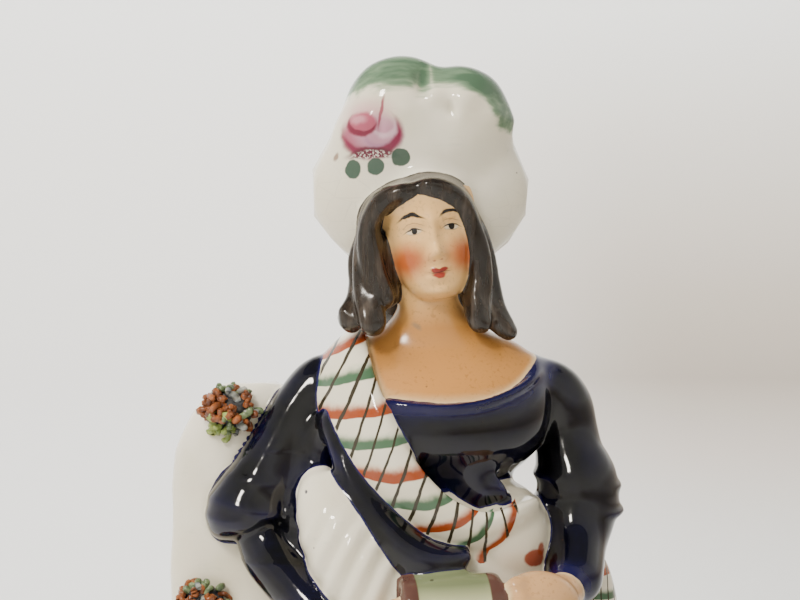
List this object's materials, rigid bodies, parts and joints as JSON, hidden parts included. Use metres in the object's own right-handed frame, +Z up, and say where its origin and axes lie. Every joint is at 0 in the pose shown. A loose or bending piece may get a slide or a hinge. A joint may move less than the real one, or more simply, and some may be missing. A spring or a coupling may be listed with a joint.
{
  "type": "pottery figure",
  "caption": "Glazed earthenware chimney figure of a standing woman in a plumed hat and plaid, with a keg, beside a mossy rock on an oval base.",
  "frame": {"origin": "middle of the flat underside of the oval base", "axes": "+Z up, the figure faces -Y, +X towards her left hand, the right of the picture"},
  "size_m": [0.164, 0.1034, 0.3305],
  "materials": {
    "glazed_earthenware": "clear glossy lead glaze over white earthenware, painted in cobalt blue, green, orange-red, brown and flesh enamels"
  },
  "bodies": {
    "root": {"figure": "glazed_earthenware"}
  },
  "joints": []
}
